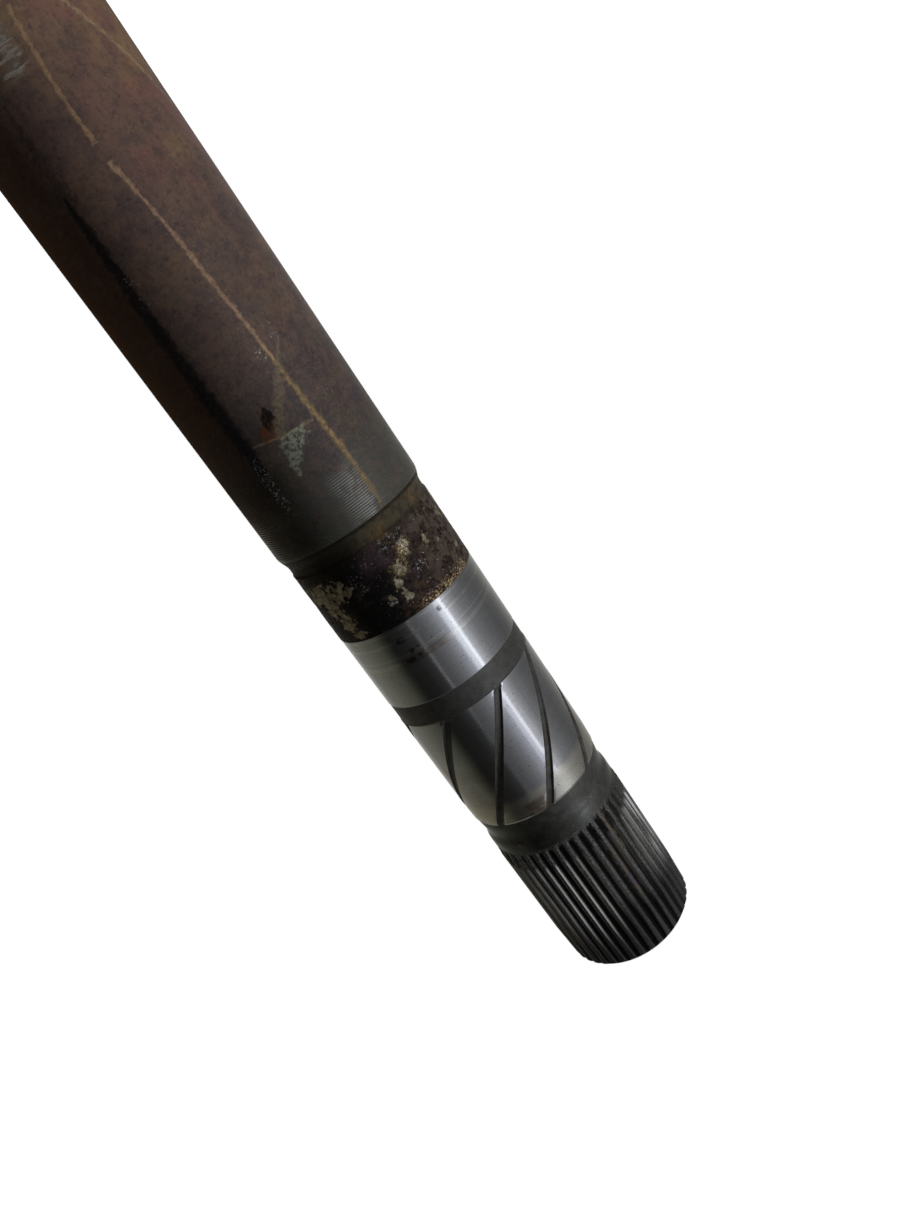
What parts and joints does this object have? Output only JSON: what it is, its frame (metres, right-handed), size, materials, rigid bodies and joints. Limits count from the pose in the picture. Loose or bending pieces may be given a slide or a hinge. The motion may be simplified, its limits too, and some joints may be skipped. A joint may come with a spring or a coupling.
{
  "type": "axle shaft",
  "caption": "Solid drive axle shaft with splined ends, a journal cut by shallow helical oil grooves, a plain ground journal and a dark heat-treated body.",
  "frame": {"origin": "centre of the lower end face, the one at the end without oil grooves", "axes": "+Z along the shaft's axis, up to the grooved end; +X and +Y are square to it, with a tooth space 3.6 degrees past -Y towards -X at both ends"},
  "size_m": [0.0534, 0.0534, 0.6],
  "materials": {
    "heat_treated_steel": "dark mill scale and heat tints on the body, ground bright on the two journals, dark oxide in the grooves, neck and teeth, light rust at the shoulder"
  },
  "bodies": {
    "root": {"axle_shaft": "heat_treated_steel"}
  },
  "joints": []
}
